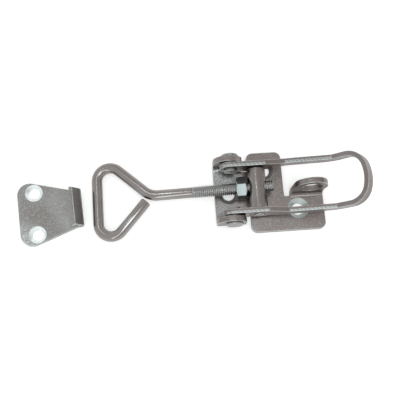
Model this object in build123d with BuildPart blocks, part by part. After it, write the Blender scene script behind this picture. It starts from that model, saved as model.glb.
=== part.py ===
from build123d import *
from math import asin, atan2, cos, degrees, hypot, radians, sin, sqrt, tan
import os

# Adjustable over-centre door fastener with its keeper, in millimetres.
# The mounting face is z = 0 and the front screw hole is centred on the origin.
# +X runs from the keeper to the lever's grip, and +Y is the left side seen from the keeper.

# Fits and clearances
running_gap = 0.05
side_gap = 0.3
head_gap = 0.1
pick = 0.01

# Base plate: one folded sheet
sheet = 2.8
bend_inside = 2.0
base_front = -7.2
ear_rear = 7.3
ear_inside = 13.8
ear_rise = 4.8
ear_corner = 7.0
relief_width = 2.9
relief_depth = 0.7
relief_corner = 0.6
wing_half = 20.6
wing_corner = 3.2
left_wing_rear = 28.0
base_rear = 47.7
screw_hole_radius = 3.0
screw_head_radius = 5.2
screw_places = [(0.0, 0.0), (18.8, 11.2), (34.6, -9.6)]
countersink_angle = 90.0

# Padlock eye, folded up from the same sheet
eye_slot_width = 3.0
eye_slot_end_y = -3.0
eye_fold_y = -3.7
eye_bend_inside = 1.5
eye_lean = 3.0
eye_from_slot = 9.4
eye_radius = 8.2
eye_hole_radius = 5.4
eye_hole_height = 12.2

# Lever pivot and rivets
pivot_x = 1.0
pivot_height = 10.6
rivet_radius = 2.5
rivet_collar_radius = 3.8
rivet_collar_length = 0.5
rivet_head_radius = 4.3
rivet_head_length = 1.0
rivet_head_chamfer = 0.4
rivet_tail_radius = 3.2
rivet_tail_length = 1.3

# Lever: one flat strip, on edge, bent to a U
strip = 2.4
strip_depth = 5.0
lobe_radius = 5.3
lobe_corner = 5.2
lobe_end = 18.0
arm_outside = 13.0
grip_outside = 13.6
flare_end = 30.0
flare_bend = 60.0
neck_end = 28.0
neck_drop = 1.7
bar_rise = 4.5
lift_start = 51.0
lift_angle = 38.5
lift_bend = 12.0
lift_length = 18.0
grip_start = 8.0
grip_corner = 10.5
grip_arc = 21.0

# Barrel between the lever's arms
barrel_from_pivot = 12.7
barrel_height = 9.6
barrel_radius = 4.6
barrel_pin_radius = 2.6
barrel_pin_proud = 0.4
barrel_chamfer = 0.4

# Claw bolt: one bent wire with a rolled M6 thread
wire_radius = 2.65
thread_radius = 2.95
bolt_reach = 80.0
bolt_offset = 0.9
thread_front = -32.6
thread_rear = 8.4
hook_bend = -53.5
hook_upper_angle = 42.9
hook_lower_angle = 47.2
hook_lower_offset = -29.0
hook_end_distance = 35.9
hook_corner = 6.5
shank_corner = 10.0
thread_chamfer = 0.5
hook_end_chamfer = 0.5

# Lock nut, M6
nut_across_flats = 10.0
nut_thickness = 5.0
nut_stand_off = 0.7
nut_turn = 22.5
nut_face_radius = 4.8
nut_chamfer = 0.55

# Keeper: a second folded sheet, lying apart
keeper_sheet = 2.0
keeper_apart = 4.95
keeper_offset = -2.2
keeper_turn = 4.0
keeper_length = 31.9
keeper_rear_half = 18.2
keeper_lip_half = 9.4
keeper_corner = 6.0
keeper_bend_inside = 1.5
keeper_lip_lean = 32.5
keeper_lip_height = 9.6
keeper_hole_radius = 2.7
keeper_head_radius = 4.3
keeper_hole_back = 23.5
keeper_hole_half_spacing = 10.7


def slanted(start, length, angle):
    """The point at a distance from a start, along a line that rises at an angle."""
    return (start[0] + length * cos(radians(angle)), start[1] + length * sin(radians(angle)))


# Places that follow from the sizes
ear_outside = ear_inside + sheet
ear_fold_y = ear_inside - bend_inside
ear_top = pivot_height + ear_rise
ear_length = ear_rear - base_front
wing_front = ear_rear + relief_width
slot_rear = left_wing_rear + eye_slot_width
eye_front_y = eye_fold_y + eye_bend_inside
eye_centre_x = slot_rear + eye_from_slot
eye_to_edge = base_rear - eye_centre_x
eye_blank_length = eye_hole_height + 2 * eye_radius
lobe_front = pivot_x - lobe_radius
lobe_top = pivot_height + lobe_radius
arm_inside = arm_outside - strip
barrel_x = pivot_x + barrel_from_pivot

# Base plate's flat blank
with BuildPart() as flat_plate:
    with BuildSketch() as blank:
        with BuildLine():
            Polyline(
                (base_front, -ear_fold_y),
                (ear_rear, -ear_fold_y),
                (ear_rear, relief_depth - ear_fold_y),
                (wing_front, relief_depth - ear_fold_y),
                (wing_front, -wing_half),
                (base_rear, -wing_half),
                (base_rear, eye_fold_y),
                (slot_rear, eye_fold_y),
                (slot_rear, eye_slot_end_y),
                (left_wing_rear, eye_slot_end_y),
                (left_wing_rear, wing_half),
                (wing_front, wing_half),
                (wing_front, ear_fold_y - relief_depth),
                (ear_rear, ear_fold_y - relief_depth),
                (ear_rear, ear_fold_y),
                (base_front, ear_fold_y),
                close=True,
            )
        make_face()
        wing_ends = blank.vertices().filter_by(lambda v: abs(abs(v.Y) - wing_half) < pick)
        fillet(wing_ends, radius=wing_corner)
        slot_ends = blank.vertices().filter_by(
            lambda v: left_wing_rear - pick < v.X < slot_rear + pick and abs(v.Y - eye_slot_end_y) < pick
        )
        fillet(slot_ends, radius=relief_corner)
    extrude(amount=sheet)

# One pivot ear, folded up with its bend
with BuildPart() as ear:
    with BuildSketch(Plane.YZ.offset(base_front)):
        with BuildLine():
            FilletPolyline(
                (ear_fold_y, sheet / 2),
                (ear_inside + sheet / 2, sheet / 2),
                (ear_inside + sheet / 2, ear_top),
                radius=bend_inside + sheet / 2,
            )
        trace(line_width=sheet)
    extrude(amount=ear_length)
    ear_shoulders = ear.edges().filter_by(Axis.Y).group_by(Axis.Z)[-1]
    fillet(ear_shoulders, radius=ear_corner)
    with BuildSketch(Plane.XZ):
        with Locations((pivot_x, pivot_height)):
            Circle(rivet_radius)
    extrude(amount=-2 * ear_outside, mode=Mode.SUBTRACT)

# Padlock eye: the fold's section, cut to its rounded outline
eye_reach = hypot(eye_from_slot, eye_hole_height)
eye_side_length = sqrt(eye_reach**2 - eye_radius**2)
eye_side_angle = degrees(atan2(eye_hole_height, eye_from_slot) + asin(eye_radius / eye_reach))
eye_plane = Plane(
    origin=(eye_centre_x, eye_front_y, 0),
    x_dir=(1, 0, 0),
    z_dir=(0, -cos(radians(eye_lean)), sin(radians(eye_lean))),
)
with BuildPart() as padlock_eye:
    with BuildSketch(Plane.YZ.offset(slot_rear - eye_radius)):
        with BuildLine():
            FilletPolyline(
                (eye_fold_y - sheet, sheet / 2),
                (eye_front_y + sheet / 2, sheet / 2),
                slanted((eye_front_y + sheet / 2, sheet / 2), eye_blank_length, 90 - eye_lean),
                radius=eye_bend_inside + sheet / 2,
            )
        trace(line_width=sheet)
    extrude(amount=base_rear - slot_rear + 2 * eye_radius)
    with BuildSketch(eye_plane):
        with BuildLine():
            Polyline(
                (-eye_from_slot, -sheet),
                (-eye_from_slot, 0),
                slanted((-eye_from_slot, 0), eye_side_length, eye_side_angle),
                (eye_to_edge, eye_hole_height),
                (eye_to_edge, -sheet),
                close=True,
            )
        make_face()
        with Locations((0, eye_hole_height)):
            Circle(eye_radius)
            Circle(eye_hole_radius, mode=Mode.SUBTRACT)
    extrude(amount=3 * sheet, both=True, mode=Mode.INTERSECT)

# Base plate: blank, ears and eye in one sheet, with its countersunk screw holes
with BuildPart() as base_plate:
    add(flat_plate.part)
    add(ear.part)
    add(ear.part.mirror(Plane.XZ))
    add(padlock_eye.part)
    with Locations(*[(x, y, sheet) for x, y in screw_places]):
        CounterSinkHole(screw_hole_radius, screw_head_radius, counter_sink_angle=countersink_angle)

# Pivot rivet: shank through ear and arm, stepped head outside, closed tail inside
rivet_plane = Plane(origin=(pivot_x, 0, pivot_height), x_dir=(1, 0, 0), z_dir=(0, 1, 0))
tail_face = arm_inside - head_gap
head_face = ear_outside
with BuildPart() as pivot_rivet_left:
    with BuildSketch(rivet_plane.offset(tail_face - rivet_tail_length)):
        Circle(rivet_tail_radius)
    extrude(amount=rivet_tail_length)
    with BuildSketch(rivet_plane.offset(tail_face)):
        Circle(rivet_radius)
    extrude(amount=head_face - tail_face)
    with BuildSketch(rivet_plane.offset(head_face)):
        Circle(rivet_collar_radius)
    extrude(amount=rivet_collar_length)
    with BuildSketch(rivet_plane.offset(head_face + rivet_collar_length)):
        Circle(rivet_head_radius)
    extrude(amount=rivet_head_length)
    head_rim = pivot_rivet_left.edges().sort_by(Axis.Y)[-1]
    chamfer(head_rim, length=rivet_head_chamfer)
with BuildPart() as pivot_rivet_right:
    add(pivot_rivet_left.part.mirror(Plane.XZ))

# Lever's side outline: lobe, neck, bar and lifted end
bar_top_start = (neck_end, lobe_top - neck_drop)
bar_top_end = slanted(bar_top_start, (lift_start - neck_end) / cos(radians(bar_rise)), bar_rise)
lift_top_end = slanted(bar_top_end, grip_start, lift_angle)
lift_low_end = slanted(lift_top_end, strip_depth, lift_angle - 90)
half_turn = radians((lift_angle - bar_rise) / 2)
bar_low_end = slanted(bar_top_end, strip_depth / cos(half_turn), (lift_angle + bar_rise) / 2 - 90)
bar_low_start = slanted(bar_top_start, strip_depth, bar_rise - 90)
lobe_low = pivot_height - lobe_radius
with BuildPart() as arms:
    with BuildSketch() as arm_plan:
        with BuildLine():
            FilletPolyline(
                (lobe_front, arm_outside - strip / 2),
                (lobe_end, arm_outside - strip / 2),
                (flare_end, grip_outside - strip / 2),
                (lift_start + lift_length, grip_outside - strip / 2),
                radius=flare_bend,
            )
        trace(line_width=strip)
        mirror(about=Plane.XZ)
    extrude(amount=lobe_top + lift_length)
    with BuildSketch(Plane.XZ) as arm_side:
        with BuildLine():
            Polyline(
                (lobe_front, lobe_low),
                (lobe_end - strip_depth / 2, lobe_low),
                bar_low_start,
                bar_low_end,
                lift_low_end,
                lift_top_end,
                bar_top_end,
                bar_top_start,
                (lobe_end, lobe_top),
                (lobe_front, lobe_top),
                close=True,
            )
        make_face()
        lobe_ends = arm_side.vertices().filter_by(lambda v: v.X < pivot_x)
        fillet(lobe_ends, radius=lobe_corner)
        neck_bends = arm_side.vertices().filter_by(lambda v: lobe_end - strip_depth < v.X < neck_end + 1)
        fillet(neck_bends, radius=strip_depth)
        lift_bends = arm_side.vertices().filter_by(lambda v: abs(v.X - lift_start) < strip_depth)
        fillet(lift_bends.sort_by(Axis.Y)[0], radius=lift_bend + strip_depth)
        fillet(lift_bends.sort_by(Axis.Y)[-1], radius=lift_bend)
    extrude(amount=2 * grip_outside, both=True, mode=Mode.INTERSECT)
    with BuildSketch(Plane.XZ):
        with Locations((pivot_x, pivot_height)):
            Circle(rivet_radius + running_gap)
        with Locations((barrel_x, barrel_height)):
            Circle(barrel_pin_radius + running_gap)
    extrude(amount=2 * grip_outside, both=True, mode=Mode.SUBTRACT)

# Lever's grip: the U's end, in the plane of the lifted end
grip_plane = Plane(
    origin=(bar_top_end[0], 0, bar_top_end[1]),
    x_dir=(cos(radians(lift_angle)), 0, sin(radians(lift_angle))),
    z_dir=(-sin(radians(lift_angle)), 0, cos(radians(lift_angle))),
)
with BuildPart() as grip:
    with BuildSketch(grip_plane) as grip_plan:
        with Locations((lift_length - grip_arc, 0)):
            Circle(grip_arc)
        with Locations((lift_length / 2, 0)):
            Rectangle(lift_length, 2 * grip_outside, mode=Mode.INTERSECT)
        end_corners = grip_plan.vertices().sort_by(Axis.X)[-2:]
        fillet(end_corners, radius=grip_corner)
        offset(amount=-strip, kind=Kind.INTERSECTION, mode=Mode.SUBTRACT)
        with Locations((grip_start / 2, 0)):
            Rectangle(grip_start, 3 * grip_outside, mode=Mode.SUBTRACT)
    extrude(amount=-strip_depth)
with BuildPart() as lever:
    add(arms.part)
    add(grip.part)

# Barrel: a trunnion whose turned-down ends stand a little proud of the arms
bolt_sink = asin((barrel_height - wire_radius) / bolt_reach)
bolt_plane = Plane(
    origin=(barrel_x, bolt_offset, barrel_height),
    x_dir=(cos(bolt_sink), 0, sin(bolt_sink)),
    z_dir=(-sin(bolt_sink), 0, cos(bolt_sink)),
)
barrel_plane = Plane(origin=(barrel_x, 0, barrel_height), x_dir=(1, 0, 0), z_dir=(0, 1, 0))
barrel_half = arm_inside - side_gap
pin_half = arm_outside + barrel_pin_proud
with BuildPart() as barrel:
    with BuildSketch(barrel_plane):
        Circle(barrel_radius)
    extrude(amount=barrel_half, both=True)
    barrel_rims = barrel.edges().filter_by(GeomType.CIRCLE)
    chamfer(barrel_rims, length=barrel_chamfer)
    with BuildSketch(barrel_plane):
        Circle(barrel_pin_radius)
    extrude(amount=pin_half, both=True)
    with BuildSketch(Plane(origin=bolt_plane.origin, x_dir=(0, 1, 0), z_dir=bolt_plane.x_dir)):
        Circle(thread_radius + running_gap)
    extrude(amount=2 * barrel_radius, both=True, mode=Mode.SUBTRACT)

# Claw bolt: the wire's path in its own plane, from the hook's free end to the thread's end
hook_bar = -bolt_reach
upper_corner = (hook_bar, (hook_bend - hook_bar) * tan(radians(hook_upper_angle)))
lower_corner = (hook_bar, hook_lower_offset)
free_end = slanted(lower_corner, hook_end_distance, hook_lower_angle)
with BuildPart() as claw_bolt:
    with BuildLine(bolt_plane) as wire_path:
        Polyline(free_end, lower_corner, upper_corner, (hook_bend, 0), (thread_front, 0))
        hook_bends = wire_path.vertices().sort_by(Axis.X)[:2]
        fillet(hook_bends, radius=hook_corner)
        shank_start = bolt_plane.from_local_coords((hook_bend, 0, 0))
        shank_bend = wire_path.vertices().sort_by_distance(shank_start)[0]
        fillet(shank_bend, radius=shank_corner)
    bent_wire = wire_path.wires()[0]
    with BuildSketch(Plane(origin=bent_wire @ 0, z_dir=bent_wire % 0)):
        Circle(wire_radius)
    sweep(path=bent_wire)
    free_rim = claw_bolt.faces().sort_by_distance(bent_wire @ 0)[0].edges()
    chamfer(free_rim, length=hook_end_chamfer)
    thread_plane = Plane(
        origin=bolt_plane.from_local_coords((thread_front, 0, 0)),
        x_dir=(0, 1, 0),
        z_dir=bolt_plane.x_dir,
    )
    with BuildSketch(thread_plane):
        Circle(thread_radius)
    extrude(amount=thread_rear - thread_front)
    thread_rims = claw_bolt.edges().filter_by(GeomType.CIRCLE).sort_by(Axis.X)
    chamfer(thread_rims[-1], length=thread_chamfer)

# Lock nut: hexagon with both faces chamfered at the corners
nut_centre = -barrel_radius - nut_stand_off - nut_thickness / 2
nut_plane = Plane(
    origin=bolt_plane.from_local_coords((nut_centre, 0, 0)),
    x_dir=(0, 1, 0),
    z_dir=bolt_plane.x_dir,
)
nut_corner_radius = nut_across_flats / 2 / cos(radians(30))
nut_front = nut_centre - nut_thickness / 2
nut_rear = nut_centre + nut_thickness / 2
with BuildPart() as lock_nut:
    with BuildSketch(nut_plane):
        RegularPolygon(nut_corner_radius, 6, rotation=nut_turn)
    extrude(amount=nut_thickness / 2, both=True)
    with BuildSketch(bolt_plane):
        with BuildLine():
            Polyline(
                (nut_front, 0),
                (nut_front, nut_face_radius),
                (nut_front + nut_chamfer, nut_corner_radius),
                (nut_rear - nut_chamfer, nut_corner_radius),
                (nut_rear, nut_face_radius),
                (nut_rear, 0),
                close=True,
            )
        make_face()
    revolve(axis=Axis(bolt_plane.origin, bolt_plane.x_dir), mode=Mode.INTERSECT)
    with BuildSketch(nut_plane):
        Circle(thread_radius + running_gap)
    extrude(amount=nut_thickness, both=True, mode=Mode.SUBTRACT)

# Keeper: a tapered plate whose narrow end folds up and back into the lip
keeper_x = barrel_x - bolt_reach * cos(bolt_sink) - wire_radius - keeper_apart
keeper_plane = Plane(
    origin=(keeper_x, keeper_offset, 0),
    x_dir=(cos(radians(keeper_turn)), sin(radians(keeper_turn)), 0),
    z_dir=(0, 0, 1),
)
keeper_side = Plane(origin=keeper_plane.origin, x_dir=keeper_plane.x_dir, z_dir=-keeper_plane.y_dir)
lip_bend_outside = keeper_bend_inside + keeper_sheet
lip_mid_radius = keeper_bend_inside + keeper_sheet / 2
lip_turn = radians(90 + keeper_lip_lean)
lip_corner_x = -lip_bend_outside + lip_mid_radius * tan(lip_turn / 2)
lip_length = (keeper_lip_height - keeper_sheet / 2) / cos(radians(keeper_lip_lean))
with BuildPart() as keeper:
    with BuildSketch(keeper_side):
        with BuildLine():
            FilletPolyline(
                (-keeper_length, keeper_sheet / 2),
                (lip_corner_x, keeper_sheet / 2),
                slanted((lip_corner_x, keeper_sheet / 2), lip_length, 90 + keeper_lip_lean),
                radius=lip_mid_radius,
            )
        trace(line_width=keeper_sheet)
    extrude(amount=keeper_rear_half, both=True)
    with BuildSketch(keeper_plane) as keeper_plan:
        with BuildLine():
            Polyline(
                (-keeper_length, -keeper_rear_half),
                (-lip_bend_outside, -keeper_lip_half),
                (lip_bend_outside, -keeper_lip_half),
                (lip_bend_outside, keeper_lip_half),
                (-lip_bend_outside, keeper_lip_half),
                (-keeper_length, keeper_rear_half),
                close=True,
            )
        make_face()
        rear_corners = keeper_plan.vertices().sort_by(Axis.X)[:2]
        fillet(rear_corners, radius=keeper_corner)
    extrude(amount=keeper_lip_height + keeper_sheet, mode=Mode.INTERSECT)
    with Locations(keeper_plane.offset(keeper_sheet)):
        with Locations(*[(-keeper_hole_back, side * keeper_hole_half_spacing) for side in (-1, 1)]):
            CounterSinkHole(keeper_hole_radius, keeper_head_radius, counter_sink_angle=countersink_angle)

pieces = {
    "base_plate": base_plate,
    "pivot_rivet_left": pivot_rivet_left,
    "pivot_rivet_right": pivot_rivet_right,
    "lever": lever,
    "barrel": barrel,
    "claw_bolt": claw_bolt,
    "lock_nut": lock_nut,
    "keeper": keeper,
}
os.makedirs("parts", exist_ok=True)
for name, piece in pieces.items():
    piece.part.label = name
    export_step(piece.part, f"parts/{name}.step")
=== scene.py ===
# %% [markdown]
# # A zinc-plated door fastener, seen from above
#
# The object is a hand-worked fastener that holds a door shut without a rattle. A folded base
# plate carries a U-shaped lever on two rivets. A barrel swings between the lever's arms and
# holds a long threaded hook, the claw, which pulls on the lip of a separate keeper. This
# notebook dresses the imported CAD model: it loads the model as a fixed frame, adds the thread
# that CAD left plain, and gives every surface its finish. All lengths are in metres.

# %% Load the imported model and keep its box
from math import cos, pi, radians, sin

import bmesh
import bpy
import numpy as np
from mathutils import Matrix, Vector


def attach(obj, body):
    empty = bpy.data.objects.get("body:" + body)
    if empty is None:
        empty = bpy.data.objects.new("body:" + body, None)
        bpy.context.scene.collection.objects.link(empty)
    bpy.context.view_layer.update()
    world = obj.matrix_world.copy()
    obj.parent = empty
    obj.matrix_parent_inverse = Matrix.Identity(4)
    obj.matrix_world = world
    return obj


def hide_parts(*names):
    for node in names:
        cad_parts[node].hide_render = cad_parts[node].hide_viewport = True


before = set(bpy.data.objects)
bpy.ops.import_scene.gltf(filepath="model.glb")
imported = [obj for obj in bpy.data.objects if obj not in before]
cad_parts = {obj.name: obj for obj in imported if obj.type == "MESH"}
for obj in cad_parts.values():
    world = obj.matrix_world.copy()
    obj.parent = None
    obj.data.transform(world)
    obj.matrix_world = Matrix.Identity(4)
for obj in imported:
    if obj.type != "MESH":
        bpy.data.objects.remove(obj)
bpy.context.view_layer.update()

print("nodes:", sorted(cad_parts))

# %% [markdown]
# ## The camera
#
# The photograph looks almost straight down, from about a third of a metre away. The camera
# leans a little towards the side of the long wing and a little towards the keeper, and it is
# turned so that the fastener runs slightly uphill to the right. Three small angles say this
# more plainly than a position and a target would, so the camera's rotation is built from them
# and its place follows from where the picture shows the lever's pivot.

# %% Place the camera from three angles and a distance
picture_side = 400
focal_pixels = 680.0
lean_right = radians(13.5)
lean_front = radians(2.0)
picture_turn = radians(4.2)
pixels_per_mm = 1.96
mm_per_metre = 1000
aim_pixel = (230.3, 195.1)
aim_point = Vector((0.001, 0.0, 0.0))  # on the floor, under the lever's pivot

camera_turn = (
    Matrix.Rotation(-picture_turn, 3, "Z")
    @ Matrix.Rotation(-lean_front, 3, "Y")
    @ Matrix.Rotation(lean_right, 3, "X")
)
camera_distance = focal_pixels / pixels_per_mm / mm_per_metre
aim_across = (aim_pixel[0] - picture_side / 2) / focal_pixels
aim_down = (aim_pixel[1] - picture_side / 2) / focal_pixels
aim_side = Vector((aim_across, -aim_down, -1.0)) * camera_distance
camera_place = Matrix.Translation(aim_point - camera_turn @ aim_side)

camera_data = bpy.data.cameras.new("camera")
camera_data.sensor_fit = "HORIZONTAL"
camera_data.sensor_width = 36.0
camera_data.lens = focal_pixels / picture_side * camera_data.sensor_width
camera_data.clip_start = 0.01
camera_data.clip_end = 10.0
camera = bpy.data.objects.new("camera", camera_data)
camera.matrix_world = camera_place @ camera_turn.to_4x4()
bpy.context.scene.collection.objects.link(camera)
bpy.context.scene.camera = camera
bpy.context.scene.view_settings.view_transform = "Standard"
print("lens", round(camera_data.lens, 1), "mm, camera at", [round(v, 3) for v in camera.location])

# %% [markdown]
# ## Small helpers for shader nodes
#
# Every finish below is made of nodes, and written out in full they would bury what they do.
# A few helpers keep them readable: one adds a node and fills its sockets by name, and others
# make the kinds that come back again and again. A node group is built once, with named inputs
# and outputs, and placed in every material that needs the effect.

# %% Helpers: add a node, make a group, start a material
FLOAT = "NodeSocketFloat"
VECTOR = "NodeSocketVector"


def add_node(tree, kind, inputs=None, **settings):
    """A new node with its settings made and its sockets filled or linked."""
    node = tree.nodes.new(kind)
    for name, value in settings.items():
        setattr(node, name, value)
    for name, value in (inputs or {}).items():
        socket = node.inputs[name]
        if isinstance(value, bpy.types.NodeSocket):
            tree.links.new(value, socket)
        else:
            socket.default_value = value
    return node


def new_group(name, inputs, outputs):
    """A shader node group with these named sockets: {name: (type, start value)}."""
    tree = bpy.data.node_groups.new(name, "ShaderNodeTree")
    for socket_name, (socket_type, value) in inputs.items():
        made = tree.interface.new_socket(socket_name, in_out="INPUT", socket_type=socket_type)
        made.default_value = value
    for socket_name, socket_type in outputs.items():
        tree.interface.new_socket(socket_name, in_out="OUTPUT", socket_type=socket_type)
    return tree, tree.nodes.new("NodeGroupInput"), tree.nodes.new("NodeGroupOutput")


def new_material(name):
    """A material with an empty tree but for its output and a Principled BSDF."""
    material = bpy.data.materials.new(name)
    material.use_nodes = True
    tree = material.node_tree
    tree.nodes.clear()
    output = tree.nodes.new("ShaderNodeOutputMaterial")
    surface = tree.nodes.new("ShaderNodeBsdfPrincipled")
    tree.links.new(surface.outputs["BSDF"], output.inputs["Surface"])
    return material, tree, surface


print("helpers ready: nodes, groups, materials")

# %% Helpers: arithmetic, ranges, noise and colour mixes
def calculate(tree, operation, first, second, use_clamp=False):
    """The result of one Math node on two values."""
    settings = {"operation": operation, "use_clamp": use_clamp}
    return add_node(tree, "ShaderNodeMath", {0: first, 1: second}, **settings).outputs[0]


def product(tree, *masks):
    """The product of several masks."""
    result = masks[0]
    for mask in masks[1:]:
        result = calculate(tree, "MULTIPLY", result, mask)
    return result


def ranged(tree, value, start, end, to_start=0.0, to_end=1.0, easing="LINEAR"):
    """A value carried from one range to another and held at both ends."""
    ends = {"From Min": start, "From Max": end, "To Min": to_start, "To Max": to_end}
    node = add_node(
        tree, "ShaderNodeMapRange", {"Value": value, **ends}, interpolation_type=easing
    )
    return node.outputs["Result"]


def noise(tree, place, scale, detail, roughness):
    """Smooth noise between zero and one over the surface."""
    inputs = {"Vector": place, "Scale": scale, "Detail": detail, "Roughness": roughness}
    return add_node(tree, "ShaderNodeTexNoise", inputs).outputs["Fac"]


def mixed(tree, share, first, second):
    """The colour between two colours, by a share that varies over the surface."""
    node = add_node(tree, "ShaderNodeMix", data_type="RGBA")
    share_socket, first_socket, second_socket, colour_result = 0, 6, 7, 2
    for index, value in ((share_socket, share), (first_socket, first), (second_socket, second)):
        if isinstance(value, bpy.types.NodeSocket):
            tree.links.new(value, node.inputs[index])
        else:
            node.inputs[index].default_value = (*value, 1.0)
    return node.outputs[colour_result]


print("helpers ready: arithmetic, ranges, noise, mixes")

# %% [markdown]
# ## Effect: the speckle of zinc plate
#
# Zinc plated over rolled sheet keeps the sheet's fine grain: a dense speckle of lighter
# crystals on a duller ground, with wide soft clouds where the bath was uneven. A photograph of
# plate would fit one piece only, while noise covers any shape without a seam. Two noises at
# different scales make it. One, cut to a narrow range, gives the speckle, and the other gives
# the clouds. The group hands out both as values, so each material mixes its own colours.

# %% Group: plate speckle
speckle_top = 0.78  # noise level at which the speckle begins when its density is zero
speckle_width = 0.22  # rise of the noise from dull ground to full crystal
cloud_levels = (0.32, 0.68)  # noise levels where a cloud begins and where it is full

speckle_tree, speckle_in, speckle_out = new_group(
    "plate_speckle",
    {"Grain Size": (FLOAT, 0.0006), "Cloud Size": (FLOAT, 0.012), "Density": (FLOAT, 0.5)},
    {"Speckle": FLOAT, "Clouds": FLOAT},
)
speckle_place = add_node(speckle_tree, "ShaderNodeTexCoord").outputs["Object"]
grain_scale = calculate(speckle_tree, "DIVIDE", 1.0, speckle_in.outputs["Grain Size"])
cloud_scale = calculate(speckle_tree, "DIVIDE", 1.0, speckle_in.outputs["Cloud Size"])
grain_noise = noise(speckle_tree, speckle_place, grain_scale, detail=2.0, roughness=0.6)
cloud_noise = noise(speckle_tree, speckle_place, cloud_scale, detail=3.0, roughness=0.5)
speckle_low = calculate(speckle_tree, "SUBTRACT", speckle_top, speckle_in.outputs["Density"])
speckle_high = calculate(speckle_tree, "ADD", speckle_low, speckle_width)
speckle_cut = ranged(speckle_tree, grain_noise, speckle_low, speckle_high)
cloud_cut = ranged(speckle_tree, cloud_noise, *cloud_levels)
speckle_tree.links.new(speckle_cut, speckle_out.inputs["Speckle"])
speckle_tree.links.new(cloud_cut, speckle_out.inputs["Clouds"])
print("group:", speckle_tree.name)

# %% [markdown]
# ## Effect: rounded edges with a painted highlight
#
# Pressed and sheared edges are never sharp, and they catch the light as thin bright lines.
# Rounding the meshes would change the fitted CAD shapes, so a Bevel node gives the normal that
# a rounded edge would have. Where it differs from the plain normal there is an edge, and that
# difference is the mask for a painted highlight: a lighter colour painted along every edge.

# %% Group: rounded edge, and the mask of its painted highlight
edge_tree, edge_in, edge_out = new_group(
    "edge_round_and_highlight",
    {"Edge Radius": (FLOAT, 0.00045), "Sharpness": (FLOAT, 12.0)},
    {"Edge": FLOAT, "Normal": VECTOR},
)
edge_radius = edge_in.outputs["Edge Radius"]
edge_round = add_node(edge_tree, "ShaderNodeBevel", {"Radius": edge_radius}, samples=6)
edge_plain = add_node(edge_tree, "ShaderNodeNewGeometry")
edge_dot = add_node(
    edge_tree,
    "ShaderNodeVectorMath",
    {0: edge_round.outputs["Normal"], 1: edge_plain.outputs["Normal"]},
    operation="DOT_PRODUCT",
)
edge_gap = calculate(edge_tree, "SUBTRACT", 1.0, edge_dot.outputs["Value"])
edge_highlight_mask = calculate(
    edge_tree, "MULTIPLY", edge_gap, edge_in.outputs["Sharpness"], use_clamp=True
)
edge_tree.links.new(edge_highlight_mask, edge_out.inputs["Edge"])
edge_tree.links.new(edge_round.outputs["Normal"], edge_out.inputs["Normal"])
print("group:", edge_tree.name)

# %% [markdown]
# ## Effect: painted highlights in the countersinks
#
# The countersinks of the keeper and of the last base hole are painted brighter than the plate
# round them: a painted highlight for the glint on their sloping walls. A separate material slot
# would need the faces of the CAD mesh to be picked out. A mask on the piece's own coordinates
# needs nothing but the hole's place, and it moves with the piece: it is the ring round a hole
# where the surface slopes.

# %% Group: countersink ring
slope_limits = (0.3, 0.97)  # upward part of the normal: steeper is the bore, flatter is plate
flatten = (1, 1, 0)  # leaves out the height, so that the distance is measured in plan

ring_tree, ring_in, ring_out = new_group(
    "countersink_ring",
    {"Centre": (VECTOR, (0, 0, 0)), "Radius": (FLOAT, 0.005)},
    {"Mask": FLOAT},
)
ring_place = add_node(ring_tree, "ShaderNodeTexCoord")
ring_level = add_node(
    ring_tree,
    "ShaderNodeVectorMath",
    {0: ring_place.outputs["Object"], 1: flatten},
    operation="MULTIPLY",
)
ring_distance = add_node(
    ring_tree,
    "ShaderNodeVectorMath",
    {0: ring_level.outputs["Vector"], 1: ring_in.outputs["Centre"]},
    operation="DISTANCE",
).outputs["Value"]
ring_normal = add_node(
    ring_tree, "ShaderNodeSeparateXYZ", {"Vector": ring_place.outputs["Normal"]}
).outputs["Z"]
ring_mask = product(
    ring_tree,
    calculate(ring_tree, "LESS_THAN", ring_distance, ring_in.outputs["Radius"]),
    calculate(ring_tree, "LESS_THAN", ring_normal, slope_limits[1]),
    calculate(ring_tree, "GREATER_THAN", ring_normal, slope_limits[0]),
)
ring_tree.links.new(ring_mask, ring_out.inputs["Mask"])
print("group:", ring_tree.name)

# %% [markdown]
# ## Effect: painted patches of light
#
# Some places of the plate are painted cooler and brighter: painted light, where more light is
# reflected. Painting them would need an image. Instead a patch fades out smoothly from a centre
# and is broken up by fine grain, so that it reads as plate and not as a painted disc.

# %% Group: painted patch of light
patch_grain_scale = 1100.0
patch_grain_levels = (0.38, 0.62)

patch_tree, patch_in, patch_out = new_group(
    "painted_light_patch",
    {"Centre": (VECTOR, (0, 0, 0)), "Radius": (FLOAT, 0.01)},
    {"Mask": FLOAT},
)
patch_place = add_node(patch_tree, "ShaderNodeTexCoord").outputs["Object"]
patch_distance = add_node(
    patch_tree,
    "ShaderNodeVectorMath",
    {0: patch_place, 1: patch_in.outputs["Centre"]},
    operation="DISTANCE",
).outputs["Value"]
patch_share = ranged(
    patch_tree, patch_distance, patch_in.outputs["Radius"], 0.0, easing="SMOOTHSTEP"
)
patch_noise = noise(patch_tree, patch_place, patch_grain_scale, detail=3.0, roughness=0.6)
patch_grain = ranged(patch_tree, patch_noise, *patch_grain_levels)
patch_mask = product(patch_tree, patch_share, patch_grain)
patch_tree.links.new(patch_mask, patch_out.inputs["Mask"])
print("group:", patch_tree.name)

# %% [markdown]
# ## Effect: the sheared edge of the lever
#
# The lever's upper edge keeps the rough break that shearing leaves, in two stretches along
# each arm. The mask is a range along the arm, on the surface that looks up and outside a limit
# on each side, broken up by the fine slanting hatch of a Wave texture.

# %% Group: sheared edge
hatch_scale = 300.0
hatch_floor = 0.35  # what is left of the brightness between two strokes of the hatch
top_limit = 0.7  # upward part of the normal: above it the surface is the strip's upper edge

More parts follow.
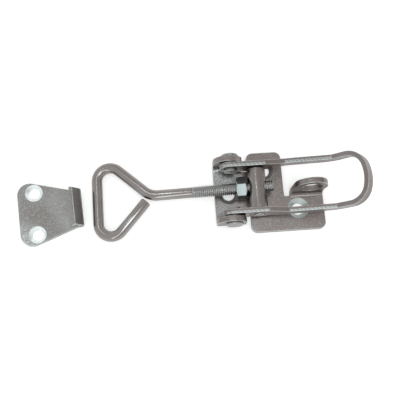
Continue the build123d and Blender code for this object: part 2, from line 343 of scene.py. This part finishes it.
shear_tree, shear_in, shear_out = new_group(
    "sheared_edge",
    {
        "Start": (FLOAT, 0.0),
        "End": (FLOAT, 0.01),
        "Left Limit": (FLOAT, 0.012),
        "Right Limit": (FLOAT, -0.012),
    },
    {"Mask": FLOAT},
)
shear_place = add_node(shear_tree, "ShaderNodeTexCoord")
shear_parts = add_node(
    shear_tree, "ShaderNodeSeparateXYZ", {"Vector": shear_place.outputs["Object"]}
)
shear_normal = add_node(
    shear_tree, "ShaderNodeSeparateXYZ", {"Vector": shear_place.outputs["Normal"]}
)
shear_hatch = add_node(
    shear_tree,
    "ShaderNodeTexWave",
    {
        "Vector": shear_place.outputs["Object"],
        "Scale": hatch_scale,
        "Distortion": 2.5,
        "Detail": 2.0,
        "Detail Scale": 3.0,
    },
    bands_direction="DIAGONAL",
)
shear_share = ranged(shear_tree, shear_hatch.outputs["Fac"], 0.0, 1.0, to_start=hatch_floor)
shear_x, shear_y = shear_parts.outputs["X"], shear_parts.outputs["Y"]
on_left_arm = product(
    shear_tree,
    calculate(shear_tree, "GREATER_THAN", shear_y, 0.0),
    calculate(shear_tree, "LESS_THAN", shear_y, shear_in.outputs["Left Limit"]),
)
on_right_arm = calculate(shear_tree, "LESS_THAN", shear_y, shear_in.outputs["Right Limit"])
shear_mask = product(
    shear_tree,
    calculate(shear_tree, "MAXIMUM", on_left_arm, on_right_arm),
    calculate(shear_tree, "GREATER_THAN", shear_x, shear_in.outputs["Start"]),
    calculate(shear_tree, "LESS_THAN", shear_x, shear_in.outputs["End"]),
    calculate(shear_tree, "GREATER_THAN", shear_normal.outputs["Z"], top_limit),
    shear_share,
)
shear_tree.links.new(shear_mask, shear_out.inputs["Mask"])
print("group:", shear_tree.name)

# %% [markdown]
# ## Finish: zinc plate
#
# All the pieces share one finish with different strengths: a warm grey metal with a lighter
# speckle and a painted highlight along its edges. A helper builds the material from a short
# list of values, so that the plate, the strip, the wire and the turned pieces differ only where
# they really do. One more plate, much darker, is painted shade for the roots of the claw's
# thread.

# %% Helper: a zinc-plated material
# painted highlight: the lighter colour painted along every edge
painted_edge_highlight = (0.80, 0.86, 0.855)
cloud_gain = (1.2, 1.27, 1.28)  # how much brighter each channel of the ground is in a cloud
rough_spread = 0.1  # how much rougher the plate is outside the clouds
grain_depth = 0.00005


def zinc_material(name, ground, light, grain, density, gloss, grain_bump, painted_light_and_shear_marks=()):
    """Plated steel: ground and light are its two greys, gloss its lowest roughness."""
    material, tree, surface = new_material(name)
    speckle = add_node(
        tree,
        "ShaderNodeGroup",
        {"Grain Size": grain, "Density": density},
        node_tree=speckle_tree,
    )
    clouds = speckle.outputs["Clouds"]
    edge = add_node(tree, "ShaderNodeGroup", node_tree=edge_tree)
    clouded = [channel * gain for channel, gain in zip(ground, cloud_gain)]
    body = mixed(tree, clouds, ground, clouded)
    speckled = mixed(tree, speckle.outputs["Speckle"], body, light)
    # painted highlight along the edges, through the edge mask
    colour = mixed(tree, edge.outputs["Edge"], speckled, painted_edge_highlight)
    # painted highlights and painted patches of light, and the lever's sheared marks
    for place_mask, place_colour in painted_light_and_shear_marks:
        colour = mixed(tree, place_mask(tree), colour, place_colour)
    rough = ranged(tree, clouds, 0.0, 1.0, to_start=gloss + rough_spread, to_end=gloss)
    bump = add_node(
        tree,
        "ShaderNodeBump",
        {
            "Height": speckle.outputs["Speckle"],
            "Normal": edge.outputs["Normal"],
            "Strength": grain_bump,
            "Distance": grain_depth,
        },
    )
    tree.links.new(colour, surface.inputs["Base Color"])
    tree.links.new(rough, surface.inputs["Roughness"])
    tree.links.new(bump.outputs["Normal"], surface.inputs["Normal"])
    surface.inputs["Metallic"].default_value = 1.0
    return material


print("zinc helper ready")

# %% [markdown]
# ## Where the painted light and the sheared marks sit
#
# The three masks are placed by plain lengths along the object. That works because every CAD
# node has its origin at the frame's origin, so a place in the frame is also a place in the
# piece's own coordinates, and the mask stays there when the piece moves. Each helper gives
# back a function, since the mask can only be made once the material's node tree exists.

# %% Helpers: where a mask sits on a piece
def placed(group, values):
    """A function that puts this mask group in a material and gives its mask."""

    def place_mask(tree):
        return add_node(tree, "ShaderNodeGroup", values, node_tree=group).outputs["Mask"]

    return place_mask


def countersink(x, y, radius):
    """The mask of one countersink, where its painted highlight goes."""
    return placed(ring_tree, {"Centre": (x, y, 0.0), "Radius": radius})


def patch(x, y, radius):
    """The mask of one painted patch of light, centred at floor level."""
    return placed(patch_tree, {"Centre": (x, y, 0.0), "Radius": radius})


def sheared(start, end, left_limit, right_limit):
    """The mask of one sheared stretch, on both of the lever's arms."""
    limits = {"Start": start, "End": end, "Left Limit": left_limit, "Right Limit": right_limit}
    return placed(shear_tree, limits)


origins = [node.matrix_world.translation.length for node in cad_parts.values()]
print("farthest node origin from the frame's origin:", round(max(origins), 6))

# %% Mix the plate of the sheet pieces
# painted highlights: near-white in the keeper's countersinks, duller in the base hole's
painted_sink_highlight = (0.92, 0.96, 0.955)
painted_dim_sink_highlight = (0.60, 0.65, 0.64)
sheared_light = (0.55, 0.60, 0.595)
# painted light: cooler, brighter patches on the base and the keeper
painted_cool_light = (0.48, 0.52, 0.52)
painted_corner_light = (0.66, 0.71, 0.71)
painted_keeper_light = (0.75, 0.80, 0.80)
eye_hole = (0.0346, -0.0096)  # the base hole beside the padlock eye
keeper_holes = ((-0.097787, 0.006835), (-0.096294, -0.014513))
base_sink_radius = 0.0054
keeper_sink_radius = 0.0045

sheet_zinc = zinc_material(
    "sheet_zinc",
    ground=(0.244, 0.204, 0.194),
    light=(0.46, 0.48, 0.475),
    grain=0.0006,
    density=0.24,
    gloss=0.30,
    grain_bump=0.3,
    painted_light_and_shear_marks=[
        (patch(x=0.009, y=-0.0195, radius=0.008), painted_cool_light),
        (patch(x=-0.001, y=0.005, radius=0.013), painted_cool_light),
        (patch(x=-0.0065, y=0.0125, radius=0.013), painted_corner_light),
        (patch(x=-0.004, y=-0.008, radius=0.009), painted_cool_light),
        (countersink(*eye_hole, base_sink_radius), painted_dim_sink_highlight),
    ],
)
keeper_zinc = zinc_material(
    "keeper_zinc",
    ground=(0.288, 0.266, 0.256),
    light=(0.52, 0.55, 0.55),
    grain=0.0006,
    density=0.26,
    gloss=0.34,
    grain_bump=0.3,
    painted_light_and_shear_marks=[
        (patch(x=-0.104, y=-0.019, radius=0.015), painted_keeper_light),
        *[(countersink(*hole, keeper_sink_radius), painted_sink_highlight) for hole in keeper_holes],
    ],
)
lever_zinc = zinc_material(
    "lever_zinc",
    ground=(0.240, 0.203, 0.195),
    light=(0.52, 0.54, 0.53),
    grain=0.0005,
    density=0.18,
    gloss=0.26,
    grain_bump=0.2,
    painted_light_and_shear_marks=[
        (sheared(-0.004, 0.018, left_limit=0.0120, right_limit=-0.0118), sheared_light),
        (sheared(0.028, 0.051, left_limit=0.0126, right_limit=-0.0124), sheared_light),
    ],
)
print("sheet finishes:", sheet_zinc.name, keeper_zinc.name, lever_zinc.name)

# %% Mix the plate of the turned and rolled pieces
barrel_zinc = zinc_material(
    "barrel_zinc",
    ground=(0.265, 0.235, 0.226),
    light=(0.50, 0.52, 0.52),
    grain=0.0005,
    density=0.14,
    gloss=0.18,
    grain_bump=0.15,
)
nut_zinc = zinc_material(
    "nut_zinc",
    ground=(0.265, 0.285, 0.283),
    light=(0.5, 0.52, 0.51),
    grain=0.0004,
    density=0.15,
    gloss=0.20,
    grain_bump=0.1,
)
rivet_zinc = zinc_material(
    "rivet_zinc",
    ground=(0.265, 0.242, 0.235),
    light=(0.52, 0.54, 0.53),
    grain=0.0005,
    density=0.15,
    gloss=0.24,
    grain_bump=0.15,
)
wire_zinc = zinc_material(
    "wire_zinc",
    ground=(0.295, 0.262, 0.252),
    light=(0.50, 0.52, 0.52),
    grain=0.0004,
    density=0.12,
    gloss=0.10,
    grain_bump=0.12,
)
# painted shade: a much darker plate for the roots of the claw's thread
painted_root_shade = zinc_material(
    "painted_root_shade",
    ground=(0.13, 0.125, 0.12),
    light=(0.2, 0.21, 0.21),
    grain=0.0004,
    density=0.1,
    gloss=0.3,
    grain_bump=0.1,
)
print("turned finishes:", barrel_zinc.name, nut_zinc.name, rivet_zinc.name, wire_zinc.name)

# %% Put each finish on its CAD piece
finishes = {
    "base_plate": sheet_zinc,
    "keeper": keeper_zinc,
    "lever": lever_zinc,
    "barrel": barrel_zinc,
    "lock_nut": nut_zinc,
    "pivot_rivet_left": rivet_zinc,
    "pivot_rivet_right": rivet_zinc,
    "claw_bolt": wire_zinc,
}
for node_name, finish in finishes.items():
    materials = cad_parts[node_name].data.materials
    materials.clear()
    materials.append(finish)
print("finished nodes:", len(finishes))

# %% [markdown]
# ## The claw bolt with its real thread
#
# The claw is one length of wire. Its plain end is bent into a hook that closes on itself, and
# the other end carries a rolled M6 thread whose crests stand a little proud of the wire. CAD
# keeps the thread as a smooth cylinder. Here the whole claw is swept as one skin: rings are
# laid along the path, and on the threaded stretch each point of a ring moves in and out with a
# helix of one millimetre pitch. A screw modifier could make the thread alone, but then the
# shank and the thread would be two skins with a seam. The crests are drawn wider and the roots
# narrower than a standard M6 thread has them, so that each crest carries a glint that still
# shows at this size. The faces low in the thread take a second, much darker material, which is
# painted shade in the thread's roots.

# %% Measures of the claw
bolt_middle = np.array([0.0137, 0.0009, 0.0096])  # where the bolt's axis crosses the barrel
bolt_reach = 0.080  # from there to the hook's far bar
wire_radius = 0.00265
path_step = 0.0006  # about the distance between two rings on a bend

free_arm_length = 0.0359
free_arm_angle = radians(47.2)
closing_angle = radians(42.9)
hook_side = -0.029  # how far the hook's first corner lies to the side of the bolt
neck_place = -0.0535  # along the bolt from its middle: less than zero is towards the hook
hook_bend = 0.0065
neck_bend = 0.010

pitch = 0.001
crest_radius = 0.00294
root_radius = 0.00242
crest_flat = 0.42  # shares of the pitch that stay level on the crest and in the root
root_flat = 0.12
thread_start = -0.0326  # both ends along the bolt from its middle
thread_end = 0.0084
run_out = 1.5 * pitch
tip_length = 0.0006  # the bevel at the bolt's end, down to a little below the root
tip_depth = 0.0002
print("thread length", round((thread_end - thread_start) * mm_per_metre, 1), "mm")

# %% Trace the claw's path in its own plane
bolt_sink = np.arcsin((bolt_middle[2] - wire_radius) / bolt_reach)
along = np.array([cos(bolt_sink), 0.0, sin(bolt_sink)])
across = np.array([0.0, 1.0, 0.0])
upward = np.array([-sin(bolt_sink), 0.0, cos(bolt_sink)])


def rounded_path(corners, radii, step):
    """Points along straight runs joined by arcs, in the claw's own plane."""
    corners = [np.array(corner, float) for corner in corners]
    points = [corners[0]]
    for before, corner, after, radius in zip(corners, corners[1:], corners[2:], radii):
        towards = (before - corner) / np.linalg.norm(before - corner)
        onwards = (after - corner) / np.linalg.norm(after - corner)
        half_angle = np.arccos(np.clip(towards @ onwards, -1, 1)) / 2
        reach = radius / np.tan(half_angle)
        inwards = (towards + onwards) / np.linalg.norm(towards + onwards)
        centre = corner + inwards * radius / np.sin(half_angle)
        start, end = corner + towards * reach, corner + onwards * reach
        first = np.arctan2(*(start - centre)[::-1])
        turn = (np.arctan2(*(end - centre)[::-1]) - first + pi) % (2 * pi) - pi
        count = max(3, int(abs(turn) * radius / step))
        angles = first + turn * np.linspace(0, 1, count)
        points += [centre + radius * np.array([cos(a), sin(a)]) for a in angles]
    return np.array(points + [corners[-1]])


hook_corner = np.array([-bolt_reach, hook_side])
free_arm = np.array([cos(free_arm_angle), sin(free_arm_angle)]) * free_arm_length
far_corner = (-bolt_reach, (neck_place + bolt_reach) * np.tan(closing_angle))
flat_path = rounded_path(
    [hook_corner + free_arm, hook_corner, far_corner, (neck_place, 0.0), (thread_start, 0.0)],
    [hook_bend, hook_bend, neck_bend],
    path_step,
)
print("path points:", len(flat_path))

# %% Helpers: one ring of the skin, and the thread's height
ring_sides = 40
ring_angles = np.arange(ring_sides) * 2 * pi / ring_sides


def ring(centre, tangent, radii):
    """One ring of points round a path point, with one radius or a radius for each side."""
    side = np.cross(upward, tangent)
    side /= np.linalg.norm(side)
    sideways = np.outer(np.cos(ring_angles) * radii, side)
    upwards = np.outer(np.sin(ring_angles) * radii, upward)
    return centre + sideways + upwards


def in_frame(flat_point):
    """A point of the claw's own plane, in the object's frame."""
    return bolt_middle + along * flat_point[0] + across * flat_point[1]


def heading(flat_tangent):
    """A direction in the claw's own plane, in the object's frame, at length one."""
    return (along * flat_tangent[0] + across * flat_tangent[1]) / np.linalg.norm(flat_tangent)


def thread_height(distance, angles):
    """Radius of the rolled thread, at a distance along the axis and angles round it."""
    phase = (distance / pitch - angles / (2 * pi)) % 1.0
    off_crest = np.abs(phase - 0.5) * 2
    slope = 1.0 - root_flat - crest_flat
    ridge = np.clip((1.0 - root_flat - off_crest) / slope, 0.0, 1.0)
    fade = np.clip((distance - thread_start) / run_out, 0.0, 1.0)
    low = wire_radius + (root_radius - wire_radius) * fade
    high = wire_radius + (crest_radius - wire_radius) * fade
    return low + (high - low) * ridge


print("sides of a ring:", ring_sides)

# %% Lay the rings: a rounded end, the bent wire, the thread
dome_steps = 6
end_round = 0.0006
rings_per_pitch = 12
end_gap = 0.0001  # the last ring stays at least this far short of the thread's end

rings = []
tangents = np.gradient(flat_path, axis=0)
end_heading = heading(tangents[0])
for step in range(dome_steps):
    angle = (step + 0.5) / dome_steps * pi / 2
    inset = end_heading * end_round * (1 - cos(angle))
    radius = wire_radius - end_round * (1 - sin(angle))
    rings.append(ring(in_frame(flat_path[0]) + inset, end_heading, radius))
for point, tangent in zip(flat_path[1:], tangents[1:]):
    rings.append(ring(in_frame(point), heading(tangent), wire_radius))
wire_rings = len(rings)

ring_step = pitch / rings_per_pitch
tip_radius = root_radius - tip_depth
for distance in np.arange(thread_start + ring_step, thread_end - end_gap, ring_step):
    tip = np.clip((thread_end - distance) / tip_length, 0.0, 1.0)
    tip_limit = tip_radius + (crest_radius - tip_radius) * tip
    radii = np.minimum(thread_height(distance, ring_angles), tip_limit)
    rings.append(ring(bolt_middle + along * distance, along, radii))
print("rings of wire:", wire_rings, "rings of thread:", len(rings) - wire_rings)

# %% Skin the rings and mark the thread's roots
claw_mesh = bmesh.new()
ring_verts = [[claw_mesh.verts.new(point) for point in points] for points in rings]
root_limit = (root_radius + crest_radius) / 2
for lower, upper in zip(ring_verts, ring_verts[1:]):
    for index in range(ring_sides):
        following = (index + 1) % ring_sides
        face = claw_mesh.faces.new(
            (lower[index], lower[following], upper[following], upper[index])
        )
        middle = np.array(face.calc_center_median()) - bolt_middle
        on_thread = middle @ along > thread_start
        off_axis = middle - along * (middle @ along)
        # painted shade: faces low in the thread take the dark second material
        face.material_index = int(on_thread and np.linalg.norm(off_axis) < root_limit)
claw_mesh.faces.new(list(reversed(ring_verts[0])))
claw_mesh.faces.new(ring_verts[-1])
bmesh.ops.recalc_face_normals(claw_mesh, faces=claw_mesh.faces)
claw_data = bpy.data.meshes.new("claw_bolt_threaded")
claw_mesh.to_mesh(claw_data)
claw_mesh.free()
claw_data.polygons.foreach_set("use_smooth", [len(f.vertices) == 4 for f in claw_data.polygons])
claw_data.materials.append(wire_zinc)
claw_data.materials.append(painted_root_shade)
print("claw triangles:", sum(len(f.vertices) - 2 for f in claw_data.polygons))

# %% Put the dressed claw in the place of CAD's plain one
claw = bpy.data.objects.new("claw_bolt_threaded", claw_data)
bpy.context.scene.collection.objects.link(claw)
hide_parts("claw_bolt")
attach(claw, "claw_bolt")
print("claw size", [round(v, 4) for v in claw.dimensions])

# %% [markdown]
# ## The floor
#
# The photograph's ground is pure white with hardly a shadow. Lamps bright enough to make a
# grey floor white would burn out the metal, and with no floor at all there would be no shadow.
# So the floor is a large pale sheet that also glows: fully for the camera, half as much where
# metal mirrors it, and not at all as light on the object, so its soft shadow stays.

# %% Lay the floor
floor_half_side = 4.0
floor_gap = 0.00002  # keeps the floor just under the plate's flat underside

floor_mesh = bmesh.new()
bmesh.ops.create_grid(floor_mesh, x_segments=8, y_segments=8, size=floor_half_side)
floor_data = bpy.data.meshes.new("floor")
floor_mesh.to_mesh(floor_data)
floor_mesh.free()
floor = bpy.data.objects.new("floor", floor_data)
floor.location = (0.0, 0.0, -floor_gap)
bpy.context.scene.collection.objects.link(floor)
print("floor", list(floor.dimensions[:2]))

# %% Make the floor glow for the camera
floor_glow = 0.45
mirrored_share = 0.5

floor_material, floor_tree, floor_surface = new_material("floor_white")
floor_surface.inputs["Base Color"].default_value = (0.9, 0.9, 0.9, 1.0)
floor_surface.inputs["Roughness"].default_value = 0.8
floor_path = add_node(floor_tree, "ShaderNodeLightPath")
seen = calculate(
    floor_tree,
    "MAXIMUM",
    floor_path.outputs["Is Camera Ray"],
    floor_path.outputs["Is Transmission Ray"],
)
mirrored = calculate(
    floor_tree, "MULTIPLY", floor_path.outputs["Is Glossy Ray"], mirrored_share
)
glow_share = calculate(floor_tree, "MAXIMUM", seen, mirrored)
glow = calculate(floor_tree, "MULTIPLY", glow_share, floor_glow)
floor_surface.inputs["Emission Color"].default_value = (1.0, 1.0, 1.0, 1.0)
floor_tree.links.new(glow, floor_surface.inputs["Emission Strength"])
floor_data.materials.append(floor_material)
print("floor finish:", floor_material.name)

# %% [markdown]
# ## Lamps and sky
#
# Bright metal shows what it mirrors, so each lamp is placed for the streak it draws. A long
# soft strip from above to the front lies in the nut's upper flat and along the claw's shank. A
# lamp near the camera, to the right, lies along the hook's free arm. A narrow one draws the
# thin line on the barrel. One big lamp would be simpler, but it would wash over all three.
# Everything else in the metal is the sky: pale grey, a little cooler on the keeper's side,
# brighter near the horizon, and plain white to the camera.

# %% Hang the lamps
lamp_colour = (0.88, 0.98, 1.0)


def soft_lamp(name, place, width, depth, power, width_along):
    """A rectangular area lamp that faces the object, with its width along a direction."""
    data = bpy.data.lights.new(name, "AREA")
    data.shape = "RECTANGLE"
    data.size = width
    data.size_y = depth
    data.energy = power
    data.color = lamp_colour
    backward = Vector(place).normalized()
    upward_side = backward.cross(Vector(width_along)).normalized()
    width_side = upward_side.cross(backward)
    facing = Matrix((width_side, upward_side, backward)).transposed()
    lamp = bpy.data.objects.new(name, data)
    lamp.matrix_world = Matrix.Translation(place) @ facing.to_4x4()
    bpy.context.scene.collection.objects.link(lamp)
    return lamp


lamps = [
    soft_lamp(
        "lamp_strip",
        place=(-0.03, -0.37, 0.60),
        width=0.92,
        depth=0.13,
        power=0.70,
        width_along=(0.39, 0.74, 0.476),
    ),
    soft_lamp(
        "lamp_right",
        place=(0.14, -0.085, 0.80),
        width=0.26,
        depth=0.20,
        power=0.50,
        width_along=(0.73, -0.68, 0.0),
    ),
    soft_lamp(
        "lamp_line",
        place=(-0.18, 0.203, 0.80),
        width=0.13,
        depth=0.045,
        power=0.10,
        width_along=(0.0, 1.0, 0.0),
    ),
]
print("lamps:", [lamp.name for lamp in lamps])

# %% Set the sky
sky_cool = (0.74, 0.76, 0.76)
sky_warm = (0.63, 0.61, 0.60)
sky_low = (0.88, 0.90, 0.90)
white = (1.0, 1.0, 1.0)
warm_from, warm_to = -0.35, 0.05  # where the sky turns from cool to warm, along the object
high_from, high_to = 0.15, 0.55  # where it turns from the low band to the upper sky

world = bpy.data.worlds.new("studio")
world.use_nodes = True
sky = world.node_tree
sky_place = add_node(sky, "ShaderNodeTexCoord")
sky_parts = add_node(sky, "ShaderNodeSeparateXYZ", {"Vector": sky_place.outputs["Generated"]})
warmth = ranged(sky, sky_parts.outputs["X"], warm_from, warm_to, easing="SMOOTHSTEP")
height = ranged(sky, sky_parts.outputs["Z"], high_from, high_to, easing="SMOOTHSTEP")
upper_sky = mixed(sky, warmth, sky_cool, sky_warm)
whole_sky = mixed(sky, height, sky_low, upper_sky)
sky_path = add_node(sky, "ShaderNodeLightPath")
sky_seen = mixed(sky, sky_path.outputs["Is Camera Ray"], whole_sky, white)
sky.links.new(sky_seen, sky.nodes["Background"].inputs["Color"])
bpy.context.scene.world = world
print("world:", world.name)
